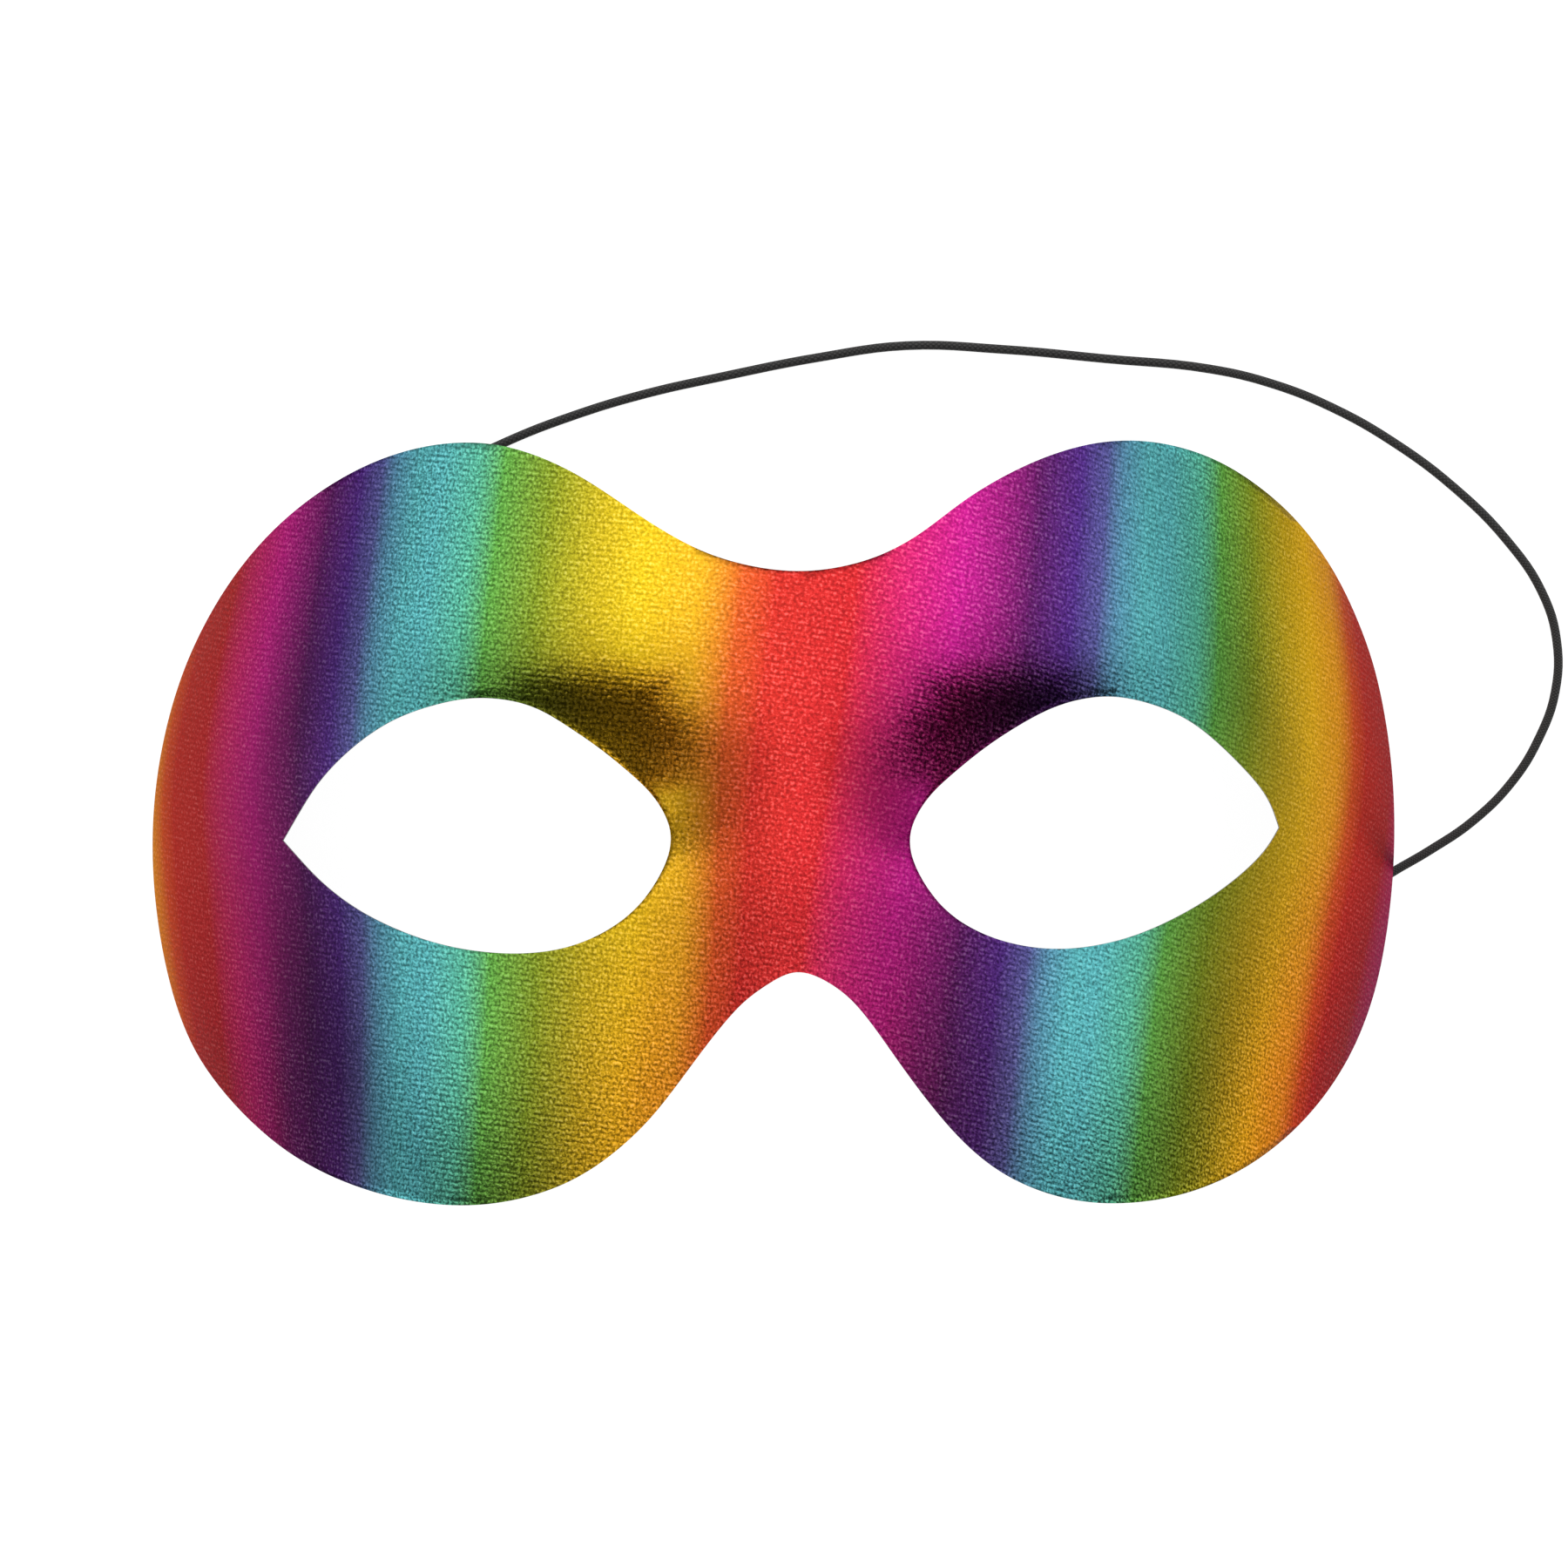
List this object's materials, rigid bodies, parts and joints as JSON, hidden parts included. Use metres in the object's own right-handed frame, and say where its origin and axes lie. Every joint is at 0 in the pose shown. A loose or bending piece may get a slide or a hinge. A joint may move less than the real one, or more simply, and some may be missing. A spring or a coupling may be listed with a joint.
{
  "type": "half eye mask",
  "caption": "Half mask for the eyes and nose bridge: thin moulded shell, rainbow knitted foil cloth in front, almond eye openings, loose elastic cord.",
  "frame": {"origin": "Below the middle of the mask, on the surface that it lies on, face up, on the feet of its two temple rims. It is the bottom centre of the box round the mask without its cord.", "axes": "+Z out of the mask's face (up as it lies), +Y to the brow, +X to the right of someone who looks at the face"},
  "size_m": [0.1926, 0.1157, 0.0691],
  "materials": {
    "foil_cloth": "shiny knitted foil cloth with a rainbow stripe from side to side: red, magenta, purple, cyan, green, yellow, and again",
    "shell_plastic": "thin black moulded plastic, satin inside",
    "glue": "milky dried glue",
    "elastic": "round black elastic cord with a fine braided cover"
  },
  "bodies": {
    "root": {"fabric": "foil_cloth", "shell": "shell_plastic", "cord_dab_left": "glue", "cord_dab_right": "glue", "cord": "elastic"}
  },
  "joints": []
}
